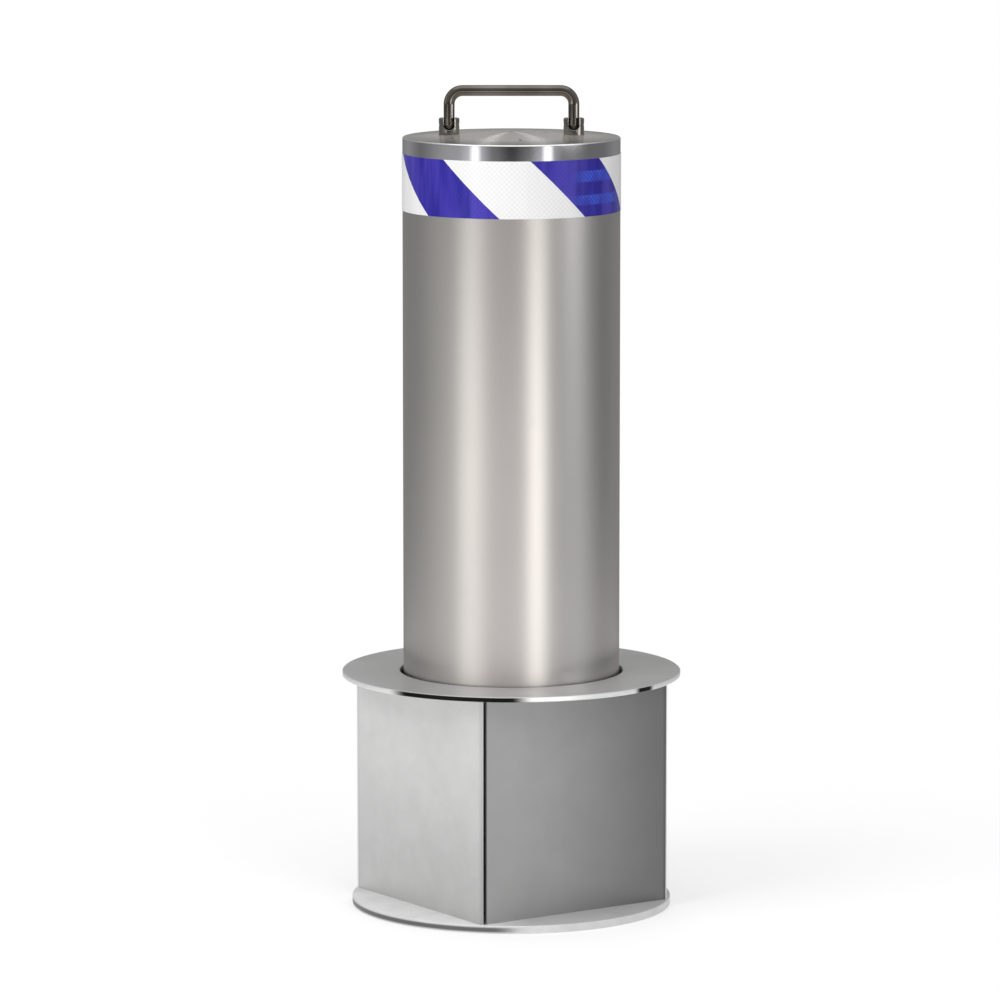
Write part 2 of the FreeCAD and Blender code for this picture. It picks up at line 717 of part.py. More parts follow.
def make_lock_spindle():
    # A long shaft from the cap to the cam; its flush head has a three-sided key socket.
    body = turned_body("lock_spindle", [
        ("0", "spindle_bottom"), ("spindle_radius", "spindle_bottom"), ("spindle_radius", "groove_bottom"),
        ("groove_radius", "groove_bottom"), ("groove_radius", "groove_top"), ("spindle_radius", "groove_top"),
        ("spindle_radius", "spindle_shoulder"), ("head_radius", "spindle_shoulder"),
        ("head_radius", "spindle_top"), ("0", "spindle_top")])
    socket = body.newObject("PartDesign::SubtractivePrism", "key_socket")
    socket.Polygon = 3
    bind(socket, Circumradius="key_circle / 2", Height="key_depth")
    place(socket, z="spindle_top - key_depth")
    return body


def spiral_slot(first_angle):
    # The slot follows a spiral whose radius grows evenly with the turn, so that the bolts move evenly.
    start, throw = size("cam_pin_start"), size("cam_throw")
    sweep = math.radians(size("cam_sweep"))
    half_width = size("cam_pin_radius") + size("running_clearance")
    growth = throw / sweep
    steps = 8

    def spot(turned, offset):
        radius = start + growth * turned
        angle = first_angle - turned
        outwards = Vector(math.cos(angle), math.sin(angle), 0)
        forwards = Vector(math.sin(angle), -math.cos(angle), 0)
        heading = (outwards * growth + forwards * radius).normalize()
        across = Vector(-heading.y, heading.x, 0)
        return outwards * radius + across * offset, heading

    walls = []
    for offset in (half_width, -half_width):
        curve = Part.BSplineCurve()
        curve.interpolate([spot(sweep * step / steps, offset)[0] for step in range(steps + 1)])
        walls.append(curve.toShape())
    ends = []
    for turned, sign in ((0, -1), (sweep, 1)):
        middle, heading = spot(turned, 0)
        tip = middle + heading * half_width * sign
        ends.append(Part.Arc(spot(turned, half_width)[0], tip, spot(turned, -half_width)[0]).toShape())
    edge_loop = Part.Wire(Part.__sortEdges__([walls[0], ends[1], walls[1], ends[0]]))
    slot = Part.Face(edge_loop).extrude(Vector(0, 0, size("cam_thickness") + 2))
    slot.translate(Vector(0, 0, size("cam_bottom") - 1))
    return slot


def make_cam_plate():
    body = turned_body("cam_blank", [
        ("cam_bore", "cam_bottom"), ("cam_radius", "cam_bottom"), ("cam_radius", "cam_top"),
        ("hub_radius", "cam_top"), ("hub_radius", "hub_top"), ("cam_bore", "hub_top")])
    cylinder_in(body, "Subtractive", "grub_hole", "tapped_radius", "hub_radius",
                z="grub_level", along=Y_AXIS)
    slots = doc.addObject("Part::Feature", "cam_slots")
    slots.Shape = Part.makeCompound([spiral_slot(0), spiral_slot(math.pi)])
    return place(turn(cut("cam_plate", body, slots), "box_turn"))


def make_grub_screw():
    blank = cylinder("grub_blank", "screw_radius", "hub_radius - spindle_radius - running_clearance",
                     y="spindle_radius", z="grub_level", along=Y_AXIS)
    socket = doc.addObject("Part::Prism", "grub_socket")
    socket.Polygon = 6
    socket.Placement.Rotation = Rotation(Z_AXIS, Y_AXIS)
    bind(socket, Circumradius="screw_radius * 0.6", Height="hub_radius")
    place(socket, y="hub_radius - screw_radius", z="grub_level")
    return place(turn(cut("cam_grub_screw", blank, socket), "box_turn"))


def make_retaining_ring():
    whole = ring("ring_blank", "groove_radius + ring_width", "groove_radius + press_clearance",
                 "ring_thickness", "ring_bottom")
    mouth = doc.addObject("Part::Box", "ring_mouth")
    bind(mouth, Length="2 * groove_radius", Width="groove_radius * 1.2", Height="ring_thickness")
    place(mouth, "0", "-groove_radius * 0.6", "ring_bottom")
    return cut("retaining_ring", whole, mouth)


# Locking bolts


def make_bolt(label, side):
    # A round bolt with a bevelled nose, which slides out through the tube and under the flange.
    body = new_body(label)
    sketch = new_sketch(body, label + "_section", "XZ_Plane")
    draw_outline(sketch, [
        ("bolt_inner_reach", "0"), ("bolt_reach", "0"), ("bolt_reach", "bolt_flat"),
        ("bolt_shoulder", "bolt_radius"), ("bolt_inner_reach", "bolt_radius")])
    turning = body.newObject("PartDesign::Revolution", label + "_turning")
    turning.Profile = sketch
    turning.ReferenceAxis = (sketch, ["H_Axis"])
    cylinder_in(body, "Subtractive", label + "_pin_hole", "cam_pin_radius + press_clearance",
                "bolt_diameter", x="cam_pin_start", z="cam_pin_grip - bolt_radius - bolt_diameter")
    turn(body, f"box_turn + {side}")
    return place(body, z="bolt_level")


def make_cam_pin(label, side):
    reach = f"cam_pin_start * cos(box_turn + {side})"
    sideways = f"cam_pin_start * sin(box_turn + {side})"
    return cylinder(label, "cam_pin_radius", "bolt_level - bolt_radius + cam_pin_grip - cam_bottom",
                    x=reach, y=sideways, z="cam_bottom")


def make_all():
    make_base_disc()
    for label, quarter, start in (("panel_back_right", 0, "-box_inner"), ("panel_back_left", 1, "open_start"),
                                  ("panel_front_left", 2, "-box_inner"), ("panel_front_right", 3, "open_start")):
        make_panel(label, quarter, start)
    make_socket_flange()
    make_post_tube()
    make_cap_plate()
    make_tape()
    for side, sign in (("left", "-"), ("right", "")):
        make_lug("lug_" + side, sign)
        make_hinge_pin("pin_" + side, sign)
    make_lug_washers()
    make_lug_nuts()
    make_spindle_bush()
    make_spindle_seal()
    make_foot_plate()
    make_tabs("foot_tabs", "foot_top", "foot_top")
    make_foot_screws()
    make_deck_plate()
    make_tabs("deck_tabs", "deck_top", "deck_top")
    make_deck_screws()
    make_deck_bush()
    for side, angle in (("left", 180), ("right", 0)):
        make_bolt_guide("bolt_guide_" + side, angle)
        make_bolt("bolt_" + side, angle)
        make_cam_pin("cam_pin_" + side, angle)
    make_guide_screws()
    make_handle()
    make_lock_spindle()
    make_cam_plate()
    make_grub_screw()
    make_retaining_ring()


sub_parts = [
    "base_disc", "panel_front_left", "panel_front_right", "panel_back_left", "panel_back_right",
    "socket_flange", "post_tube", "cap_plate", "lug_left", "lug_right", "pin_left", "pin_right",
    "lug_washers", "lug_nuts", "tape_white", "tape_blue", "spindle_bush_top", "spindle_seal",
    "foot_plate", "foot_tabs", "foot_screws", "deck_plate", "deck_tabs", "deck_screws", "deck_bush",
    "bolt_guide_left", "bolt_guide_right", "guide_screws", "handle", "lock_spindle", "cam_plate",
    "cam_grub_screw", "retaining_ring", "bolt_left", "bolt_right", "cam_pin_left", "cam_pin_right",
]


def check_document():
    for item in doc.Objects:
        if "Invalid" in item.State or "Error" in item.State:
            raise RuntimeError(f"{item.Label} failed: {item.State}")


def export_parts():
    os.makedirs("parts", exist_ok=True)
    for label in sub_parts:
        shape = doc.getObjectsByLabel(label)[0].Shape
        if shape.isNull() or not shape.isValid() or not shape.Solids:
            raise RuntimeError(f"{label} has no valid solid")
        shape.exportStep(f"parts/{label}.step")
        print(f"{label}: {len(shape.Solids)} solids, {shape.Volume / 1000:.1f} cm3")


make_all()
doc.recompute()
check_document()
export_parts()
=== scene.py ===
import math

import bpy
from mathutils import Euler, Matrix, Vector


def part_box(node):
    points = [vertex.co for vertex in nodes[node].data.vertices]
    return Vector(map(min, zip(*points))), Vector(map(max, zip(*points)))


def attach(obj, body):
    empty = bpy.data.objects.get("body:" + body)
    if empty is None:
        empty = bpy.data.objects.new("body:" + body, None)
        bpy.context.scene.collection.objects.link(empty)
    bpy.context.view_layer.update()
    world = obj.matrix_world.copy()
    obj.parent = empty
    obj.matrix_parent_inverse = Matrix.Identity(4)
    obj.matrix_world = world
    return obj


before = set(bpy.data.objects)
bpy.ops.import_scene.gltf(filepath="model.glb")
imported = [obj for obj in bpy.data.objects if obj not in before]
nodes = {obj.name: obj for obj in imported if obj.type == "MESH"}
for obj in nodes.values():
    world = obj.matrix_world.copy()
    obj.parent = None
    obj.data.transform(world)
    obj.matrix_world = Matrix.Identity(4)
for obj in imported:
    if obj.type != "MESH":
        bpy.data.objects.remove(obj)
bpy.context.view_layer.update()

rimHeight = 0.016  # from the tube's top to the top of the cap's rim


def lowest(node):
    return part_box(node)[0]


def highest(node):
    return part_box(node)[1]


def halfWidth(node):
    return (highest(node)[0] - lowest(node)[0]) / 2


# Levels and radii that the finishes and the new piece share, read from the frame
level = {
    "rimTop": highest("post_tube")[2] + rimHeight,
    "flangeTop": highest("socket_flange")[2],
    "flangeBottom": lowest("socket_flange")[2],
    "discTop": highest("base_disc")[2],
}
radius = {
    "tape": halfWidth("tape_white"),
    "flange": halfWidth("socket_flange"),
    "disc": halfWidth("base_disc"),
}


# Node maths: a signal is one socket of a tree, and Python's operators add Math nodes to it
class Signal:
    def __init__(self, owner, socket):
        self.owner = owner
        self.socket = socket

    def math(self, operation, other=0, swapped=False):
        first, second = (other, self) if swapped else (self, other)
        return self.owner.add("ShaderNodeMath", {"operation": operation}, {0: first, 1: second})["Value"]

    def __add__(self, other):
        return self.math("ADD", other)

    __radd__ = __add__

    def __sub__(self, other):
        return self.math("SUBTRACT", other)

    def __rsub__(self, other):
        return self.math("SUBTRACT", other, True)

    def __mul__(self, other):
        return self.math("MULTIPLY", other)

    __rmul__ = __mul__

    def __truediv__(self, other):
        return self.math("DIVIDE", other)

    def __pow__(self, other):
        return self.math("POWER", other)

    def __abs__(self):
        return self.math("ABSOLUTE")

    def fade(self, start, end):  # 0 at start, 1 at end, smooth between
        return self.owner.add("ShaderNodeMapRange", {"interpolation_type": "SMOOTHSTEP", "clamp": True},
                              {"Value": self, "From Min": start, "From Max": end})["Result"]

    def within(self, centre, flat, end):  # 1 up to flat away from the centre, 0 from end on
        return 1 - abs(self - centre).fade(flat, end)


def total(signals):
    first, *others = signals
    for other in others:
        first = first + other
    return first


def lengthOf(*sides):  # of the line that has these sides
    return total(side * side for side in sides) ** 0.5


def turnedFrom(across, along, middle):  # degrees round the axis from an angle, with no jump at the back
    way = math.radians(middle)
    share = (across * math.cos(way) + along * math.sin(way)) / lengthOf(across, along)
    return inDegrees(share.math("ARCCOSINE"))


def inDegrees(angle):
    return angle * (180 / math.pi)


def grey(tone):
    return (tone, tone, tone)


def findSocket(sockets, name):
    if isinstance(name, int):
        return sockets[name]
    for socket in sockets:
        if socket.identifier == name and socket.enabled:
            return socket
    return next(socket for socket in sockets if socket.name == name and socket.enabled)


def fillRamp(ramp, stops):
    while len(ramp.elements) < len(stops):
        ramp.elements.new(0.5)
    for element, (position, colour) in zip(ramp.elements, stops):
        element.position = position
        element.color = (*colour, 1)


class Added:
    def __init__(self, owner, node):
        self.owner = owner
        self.node = node

    def __getitem__(self, name):
        return Signal(self.owner, findSocket(self.node.outputs, name))


class NodeTree:
    def __init__(self, tree):
        self.tree = tree

    def add(self, kind, settings=None, inputs=None):  # any node: its type, its settings, its sockets
        node = self.tree.nodes.new(kind)
        for key, value in (settings or {}).items():
            if key == "stops":
                fillRamp(node.color_ramp, value)
            else:
                setattr(node, key, value)
        for key, value in (inputs or {}).items():
            self.plug(findSocket(node.inputs, key), value)
        return Added(self, node)

    def plug(self, socket, value):
        if isinstance(value, Signal):
            self.tree.links.new(value.socket, socket)
        elif isinstance(value, (tuple, list)) and len(value) == 3 and socket.type == "RGBA":
            socket.default_value = (*value, 1)
        else:
            socket.default_value = value

    def blend(self, factor, first, second):  # colours, or signals of colours
        return self.add("ShaderNodeMix", {"data_type": "RGBA"},
                        {"Factor_Float": factor, "A_Color": first, "B_Color": second})["Result_Color"]


class Finish(NodeTree):
    def __init__(self, name, shader=None):
        self.material = bpy.data.materials.new(name)
        self.material.use_nodes = True
        super().__init__(self.material.node_tree)
        self.shader = self.tree.nodes["Principled BSDF"]
        for socket, value in (shader or {}).items():
            self.shader.inputs[socket].default_value = value

    def feed(self, name, value):
        self.plug(self.shader.inputs[name], value)

    def place(self, stretch=(1, 1, 1)):  # a point of the piece
        where = self.add("ShaderNodeTexCoord")["Object"]
        return self.add("ShaderNodeMapping", {}, {"Vector": where, "Scale": stretch})["Vector"]

    def parts(self):
        split = self.add("ShaderNodeSeparateXYZ", {}, {0: self.place()})
        return split["X"], split["Y"], split["Z"]

    def noise(self, scale, detail=3, rough=0.5, stretch=(1, 1, 1)):
        return self.add("ShaderNodeTexNoise", {}, {"Vector": self.place(stretch), "Scale": scale,
                                                   "Detail": detail, "Roughness": rough})["Fac"]

    def emission(self, colour):
        return self.add("ShaderNodeEmission", {}, {"Color": colour, "Strength": 1.0})["Emission"]

    def surface(self, shader):
        self.tree.links.new(shader.socket, self.tree.nodes["Material Output"].inputs["Surface"])

    def bump(self, height, strength, distance):
        return self.add("ShaderNodeBump", {}, {"Height": height, "Strength": strength,
                                               "Distance": distance})["Normal"]


def dress(finish, *names):
    for name in names:
        piece = nodes[name]
        piece.data.materials.clear()
        piece.data.materials.append(finish.material)


# Camera, at the photograph's place
cameraPlace = {
    "distance": 5.993,
    "height": 1.2532,
    "sideways": -0.0115,
    "downTilt": 7.98,
    "lens": 215.4,
    "sensor": 36,
    "clipEnd": 200,
}


def makeCamera(place):
    data = bpy.data.cameras.new("photoCamera")
    data.lens = place["lens"]
    data.sensor_width = place["sensor"]
    data.clip_end = place["clipEnd"]
    data.dof.use_dof = False
    camera = bpy.data.objects.new("photoCamera", data)
    camera.location = (place["sideways"], -place["distance"], place["height"])
    camera.rotation_euler = Euler((math.radians(90 - place["downTilt"]), 0, 0))
    bpy.context.scene.collection.objects.link(camera)
    bpy.context.scene.camera = camera
    print("camera placed")


makeCamera(cameraPlace)


# Studio: a light tent that only reflections see, soft lamps above and a white floor and surround
tentLook = {
    "radius": 1.3,
    "height": 2.6,
    "blend": 0.006,
    # below the split the tent's light is tinted: angle from the camera's side, colour
    "tintSplit": (0.57, 0.63),
    "tints": [
        (-180, (1, 1, 0.98)), (-66, (0.985, 1, 0.965)), (-45, (1, 0.985, 0.945)), (-30, (1, 0.96, 0.935)),
        (-12, (1, 0.953, 0.94)), (12, (1, 0.955, 0.945)), (25, (1, 0.98, 0.925)), (40, (1, 0.99, 0.95)),
        (52, (0.94, 0.98, 1)), (75, (0.94, 0.98, 1)), (95, (0.98, 1, 0.98)), (130, (1, 1, 0.97)),
    ],
    # tiers from the floor up: top, level and glows, which are angle, flat half, reach and strength
    "tiers": [
        (0.645, 0.28, [
            (0, 50, 112, 0.46), (0, 8, 30, 0.16), (-28, 0, 16, 0.3), (-43, 0, 21, 1.14),
            (25.5, 0, 15, 2.25), (55, 0, 26, -0.34), (100, 0, 34, -0.12), (-108, 0, 30, 0.04),
            (180, 0, 18, 0.04), (-180, 0, 18, 0.04),
        ]),
        (0.697, 0.24, [
            (-60, 0, 52, 0.34), (66, 0, 30, -0.03), (0, 0, 17, -0.17), (-37, 0, 8, 1.5),
            (-37, 0, 20, 0.55), (37, 0, 8, 2.0), (36, 0, 20, 0.6), (135, 0, 30, 0.1), (-135, 0, 30, 0.14),
        ]),
        (0.80, 0.04, [(64, 0, 24, 5.0), (115, 0, 60, 0.2), (-120, 0, 50, 0.15)]),
        (1.40, 0.30, [(0, 0, 30, -0.1), (-90, 0, 28, 0.3), (90, 0, 28, 0.3)]),
        (2.70, 0.36, [(0, 0, 30, -0.08), (-90, 0, 40, 0.12), (90, 0, 40, 0.12)]),
    ],
    "underFloor": -1,
    # narrow lights behind, whose reflections run across the turned cap: sideways share, strength
    "streaks": [(0.6, 1.7), (-0.8, 1.7)],
    "streakWidth": 0.012,
    "streakFoot": (1.1, 1.2),
    "streakHead": (1.9, 1.7),
    "streakBehind": (0, 0.2),
}
studio = {
    "surround": 0.5,
    "floorRadius": 30,
    "floorShade": 0.45,
    "floorWhite": 0.95,
    "floorRoughness": 0.9,
    "shadowKept": 0.5,
    "shadowReach": (0.2, 0.9),
    "aimHeight": 0.45,
    "lamps": [
        # name, angle from the camera's side, distance, height, width, tall, watts
        ("keyLight", -50, 2.2, 2.0, 1.6, 1.2, 38),
        ("fillLight", 30, 2.4, 2.0, 1.6, 1.2, 24),
        ("rearLight", 180, 2.4, 2.2, 2.0, 1.2, 14),
        ("topLight", 0, 0.1, 3.0, 1.6, 1.6, 16),
    ],
}


def makeLamp(name, angle, distance, height, width, tall, watts, aimHeight):
    data = bpy.data.lights.new(name, "AREA")
    data.shape = "RECTANGLE"
    data.size = width
    data.size_y = tall
    data.energy = watts
    lamp = bpy.data.objects.new(name, data)
    turned = math.radians(angle)
    lamp.location = (distance * math.sin(turned), -distance * math.cos(turned), height)
    towards = Vector((0, 0, aimHeight)) - lamp.location
    lamp.rotation_euler = towards.to_track_quat("-Z", "Y").to_euler()
    lamp.visible_camera = False
    lamp.visible_glossy = False
    bpy.context.scene.collection.objects.link(lamp)


def seenRay(tree):  # 1 where the camera, a reflection or a view through glass looks
    path = tree.add("ShaderNodeLightPath")
    direct = path["Is Camera Ray"].math("MAXIMUM", path["Is Glossy Ray"])
    return direct.math("MAXIMUM", path["Is Transmission Ray"])


def makeSurround(strength):
    world = bpy.data.worlds.new("surround")
    bpy.context.scene.world = world
    world.use_nodes = True
    surround = NodeTree(world.node_tree)
    tone = surround.blend(seenRay(surround), grey(strength), grey(1))
    surround.plug(world.node_tree.nodes["Background"].inputs["Color"], tone)


def makeFloor(settings):
    bpy.ops.mesh.primitive_circle_add(vertices=96, radius=settings["floorRadius"], fill_type="TRIFAN")
    floor = bpy.context.object
    floor.name = "studioFloor"
    finish = Finish("paleFloor", {"Roughness": settings["floorRoughness"], "Specular IOR Level": 0})
    seen = seenRay(finish)
    tone = finish.blend(seen, grey(settings["floorShade"]), grey(settings["floorWhite"]))
    finish.feed("Base Color", tone)
    reach = lengthOf(*finish.parts()[:2])
    kept = (1 - reach.fade(*settings["shadowReach"])) * settings["shadowKept"]
    mixed = finish.add("ShaderNodeMixShader", {}, {
        0: seen * (1 - kept), 1: Signal(finish, finish.shader.outputs[0]), 2: finish.emission(grey(1))})
    finish.surface(mixed["Shader"])
    floor.data.materials.append(finish.material)


def tentGlow(look, across, along, up, degrees):  # how bright the tent is at a point
    tiers, bottom, blend = [], look["underFloor"], look["blend"]
    for top, ground, glows in look["tiers"]:
        tier = total(degrees.within(*spread) * strength for *spread, strength in glows) + ground
        tier = tier * up.fade(bottom - blend, bottom + blend) * up.fade(top + blend, top - blend)
        tiers.append(tier)
        bottom = top
    distance = lengthOf(across, along, up - level["rimTop"])
    shown = up.fade(*look["streakFoot"]) * up.fade(*look["streakHead"]) * along.fade(*look["streakBehind"])
    width = look["streakWidth"]
    for share, strength in look["streaks"]:
        offset = across / distance - (along / distance - 1) * share
        tiers.append(offset.within(0, width / 2, width) * shown * strength)
    return total(tiers)


def makeTent(look):
    bpy.ops.mesh.primitive_cylinder_add(vertices=128, radius=look["radius"], depth=look["height"],
                                        end_fill_type="NOTHING", location=(0, 0, look["height"] / 2))
    bpy.ops.object.transform_apply(location=True)
    tent = bpy.context.object
    tent.name = "lightTent"
    finish = Finish("tentCloth")
    across, along, up = finish.parts()
    degrees = inDegrees(across.math("ARCTAN2", along * -1))
    stops = [(angle / 360 + 0.5, tint) for angle, tint in look["tints"]]
    tint = finish.add("ShaderNodeValToRGB", {"stops": stops}, {"Fac": degrees / 360 + 0.5})["Color"]
    tint = finish.blend(up.fade(*look["tintSplit"]), tint, grey(1))
    glow = finish.add("ShaderNodeVectorMath", {"operation": "SCALE"},
                      {0: tint, "Scale": tentGlow(look, across, along, up, degrees)})["Vector"]
    finish.surface(finish.emission(glow))
    tent.data.materials.append(finish.material)
    tent.visible_camera = False
    tent.visible_diffuse = False
    tent.visible_shadow = False


makeSurround(studio["surround"])
makeFloor(studio)
makeTent(tentLook)
for lampRow in studio["lamps"]:
    makeLamp(*lampRow, studio["aimHeight"])
bpy.context.scene.view_settings.view_transform = "Standard"
print("studio lit")


# In the looks below, a noise is its scale, detail, roughness and stretch, and a bump its strength and depth

# Post: stainless tube with fine brushing round it
postLook = {
    "colour": (0.63, 0.605, 0.59),
    "darker": (0.56, 0.54, 0.525),
    "roughness": 0.33,
    "shader": {"Metallic": 1, "Anisotropic": 0.6, "Anisotropic Rotation": 0.25},
    "brushing": (60, 4, 0.6, (1, 1, 40)),
    "brushBump": (0.06, 0.0001),
    "brushRough": 0.06,
    "clouds": (6, 3, 0.5, (1, 1, 0.35)),
    "cloudFade": (0.25, 0.6),
    "cloudShare": 0.6,
    "scuffs": (14, 5, 0.7, (1, 1, 2)),
    "scuffFade": (0.58, 0.75),
    "scuffRough": 0.05,
}


def makePostFinish(look):
    finish = Finish("postSteel", look["shader"])
    brushing = finish.noise(*look["brushing"])
    clouds = finish.noise(*look["clouds"]).fade(*look["cloudFade"])
    scuffs = finish.noise(*look["scuffs"]).fade(*look["scuffFade"])
    paler = clouds * look["cloudShare"] + brushing * (1 - look["cloudShare"])
    finish.feed("Base Color", finish.blend(paler, look["darker"], look["colour"]))
    finish.feed("Roughness", look["roughness"] + brushing * look["brushRough"] + scuffs * look["scuffRough"])
    finish.feed("Normal", finish.bump(brushing, *look["brushBump"]))
    dress(finish, "post_tube")


makePostFinish(postLook)


# Cap: turned in circles on top, polished round the rim, with three small marks; the top is painted darker
# towards the rim as a painted reflection, and the rim's chamfer carries a painted highlight
capLook = {
    "colour": (0.62, 0.58, 0.55),
    "greenish": (0.23, 0.235, 0.22),
    "greenishReach": (0.065, 0.108),
    "clouds": (30, 4, 0.6),
    "cloudShare": 0.15,
    "roughness": 0.12,
    "topMetallic": 0.55,
    "shader": {"Anisotropic": 0.95, "Anisotropic Rotation": 0.25},
    "turningPitch": 0.0012,
    "turningDetail": 4,
    "turningRough": 0.08,
    "turningBump": (0.12, 0.0002),
    "rimColour": (0.52, 0.52, 0.545),
    "rimRoughness": 0.045,
    "rimUnder": (0.0008, 0.0016),
    "chamfer": (0.92, 0.91, 0.90),
    "chamferUnder": (0.001, 0.0013),
    "chamferReach": (0.1082, 0.1086),
    "chamferFade": (0.05, 0.1),
    "chamferLost": 0.8,
    # marks: across, along, half width
    "marks": [(-0.059, -0.038, 0.0014), (0.0087, -0.069, 0.0018), (0.034, 0.005, 0.0021)],
    "markTone": grey(0.05),
    "markLength": 3,
    "markNoise": (900, 2),
    "markRagged": 0.8,
    "markSoft": 1.5,
    "scratchTone": (0.9, 0.88, 0.86),
    "scratches": (300, 3, 0.6, (1, 0.07, 1)),
    "scratchFade": (0.62, 0.7),
    "scratchShown": 0.5,
    "scratchMiddle": (0.028, 0.004),
    "scratchReach": (0.006, 0.026),
}


def makeCapFinish(look):
    finish = Finish("capSteel", look["shader"])
    across, along, up = finish.parts()
    reach, under = lengthOf(across, along), level["rimTop"] - up
    grooves = finish.add("ShaderNodeTexNoise", {"noise_dimensions": "1D"}, {
        "W": reach / look["turningPitch"], "Scale": 1.0, "Detail": look["turningDetail"]})["Fac"]
    # painted reflection: the top is painted darker and greenish towards the rim
    outwards = reach.fade(*look["greenishReach"]) * (1 - look["cloudShare"])
    clouds = finish.noise(*look["clouds"]) * look["cloudShare"]
    tone = finish.blend(outwards + clouds, look["colour"], look["greenish"])
    onRim = under.fade(*look["rimUnder"])
    tone = finish.blend(onRim, tone, look["rimColour"])
    # painted highlight: the rim's chamfer is painted near white, most at the front and back, less towards the
    # sides
    onChamfer = (1 - under.fade(*look["chamferUnder"])) * reach.fade(*look["chamferReach"])
    kept = 1 - abs(across).fade(*look["chamferFade"]) * look["chamferLost"]
    tone = finish.blend(onChamfer * kept, tone, look["chamfer"])
    for markX, markY, size in look["marks"]:
        spot = lengthOf(across - markX, (along - markY) / look["markLength"])
        ragged = spot + finish.noise(*look["markNoise"]) * (size * look["markRagged"])
        tone = finish.blend(1 - ragged.fade(size, size * look["markSoft"]), tone, look["markTone"])
    scratchX, scratchY = look["scratchMiddle"]
    scratched = 1 - lengthOf(across - scratchX, along - scratchY).fade(*look["scratchReach"])
    lines = finish.noise(*look["scratches"]).fade(*look["scratchFade"])
    tone = finish.blend(lines * scratched * look["scratchShown"], tone, look["scratchTone"])
    finish.feed("Base Color", tone)
    finish.feed("Metallic", onRim * (1 - look["topMetallic"]) + look["topMetallic"])
    onTop = look["roughness"] + grooves * look["turningRough"]
    finish.feed("Roughness", onTop * (1 - onRim) + onRim * look["rimRoughness"])
    finish.feed("Normal", finish.bump(grooves, *look["turningBump"]))
    dress(finish, "cap_plate", "lock_spindle")


makeCapFinish(capLook)


# Plain metals: two tones that a noise blends, least roughness and how much the noise adds
metalLooks = {
    # handle and lugs: dark polished steel
    "handleSteel": {
        "names": ("handle",),
        "tones": ((0.20, 0.18, 0.155), (0.27, 0.25, 0.225)), "roughness": (0.1, 0.06),
        "noise": (28, 2, 0.5), "fade": (0.3, 0.7),
    },
    "lugSteel": {
        "names": ("lug_left", "lug_right"),
        "tones": ((0.30, 0.28, 0.25), (0.40, 0.38, 0.35)), "roughness": (0.12, 0.06),
        "noise": (28, 2, 0.5), "fade": (0.3, 0.7),
    },
    "fastenerSteel": {
        "names": ("pin_left", "pin_right", "lug_washers", "lug_nuts", "foot_screws", "deck_screws",
                  "guide_screws", "cam_grub_screw", "retaining_ring"),
        "tones": ((0.44, 0.44, 0.432), (0.55, 0.55, 0.54)), "roughness": (0.3, 0.08),
        "noise": (45, 4, 0.6), "fade": (0.25, 0.75),
    },
    "innerSteel": {
        "names": ("foot_plate", "foot_tabs", "deck_plate", "deck_tabs", "bolt_guide_left", "bolt_guide_right",
                  "cam_plate", "bolt_left", "bolt_right", "cam_pin_left", "cam_pin_right"),
        "tones": (grey(0.35), grey(0.50)), "roughness": (0.4, 0.08),
        "noise": (45, 4, 0.6), "fade": (0.25, 0.75),
    },
    "bushBrass": {
        "names": ("spindle_bush_top", "deck_bush"),
        "tones": ((0.504, 0.385, 0.175), (0.72, 0.55, 0.25)), "roughness": (0.3, 0.08),
        "noise": (45, 4, 0.6), "fade": (0.25, 0.75),
    },
    # welds inside the box: stained brown in places
    "weldSteel": {
        "names": (),
        "tones": ((0.42, 0.41, 0.40), (0.30, 0.22, 0.16)), "roughness": (0.34, 0.15),
        "noise": (120, 3, 0.6), "fade": (0.4, 0.65),
    },
}


def makeMetal(name, look):
    finish = Finish(name, {"Metallic": 1})
    stain = finish.noise(*look["noise"])
    finish.feed("Base Color", finish.blend(stain.fade(*look["fade"]), *look["tones"]))
    least, more = look["roughness"]
    finish.feed("Roughness", least + stain * more)
    dress(finish, *look["names"])
    return finish.material


metals = {metalName: makeMetal(metalName, metalLook) for metalName, metalLook in metalLooks.items()}


# Flange: smooth ground plate whose cut edge carries a painted reflection, part bright, part dark
flangeLook = {
    "colour": grey(0.73),
    "darker": grey(0.65),
    "clouds": (9, 3, 0.5),
    "cloudFade": (0.3, 0.7),
    "roughness": 0.34,
    "grain": (160, 3, 0.6),
    "grainRough": 0.06,
    "metallic": 0.72,
    "edgeBright": grey(0.95),
    "edgeDark": grey(0.012),
    "edgeInset": (0.0012, 0.0004),
    "edgeUnder": (0.0001, 0.0008),
    # patches of painted dark reflection on the edge: angle, half width, softness
    "scaleAngles": [(-109, 23, 4), (-39, 4, 1.5), (20, 22, 2), (75, 14, 3), (160, 12, 2)],
}


def makeFlangeFinish(look):
    finish = Finish("flangeSteel")
    across, along, up = finish.parts()
    degrees = inDegrees(along.math("ARCTAN2", across))
    clouds = finish.noise(*look["clouds"]).fade(*look["cloudFade"])
    # scale is a painted dark reflection on the edge, by angle round the axis; the rest of the edge is painted
    # bright
    scale = total(degrees.within(centre, half - soft, half + soft)
                  for centre, half, soft in look["scaleAngles"])
    darkReflectionOnEdge = scale * (level["flangeTop"] - up).fade(*look["edgeUnder"])
    onEdge = (radius["flange"] - lengthOf(across, along)).fade(*look["edgeInset"])
    edgeReflectionTone = finish.blend(darkReflectionOnEdge, look["edgeBright"], look["edgeDark"])
    plateTone = finish.blend(clouds, look["darker"], look["colour"])
    finish.feed("Base Color", finish.blend(onEdge, plateTone, edgeReflectionTone))
    finish.feed("Metallic", darkReflectionOnEdge * onEdge * (1 - look["metallic"]) + look["metallic"])
    finish.feed("Roughness", look["roughness"] + finish.noise(*look["grain"]) * look["grainRough"])
    dress(finish, "socket_flange")


makeFlangeFinish(flangeLook)
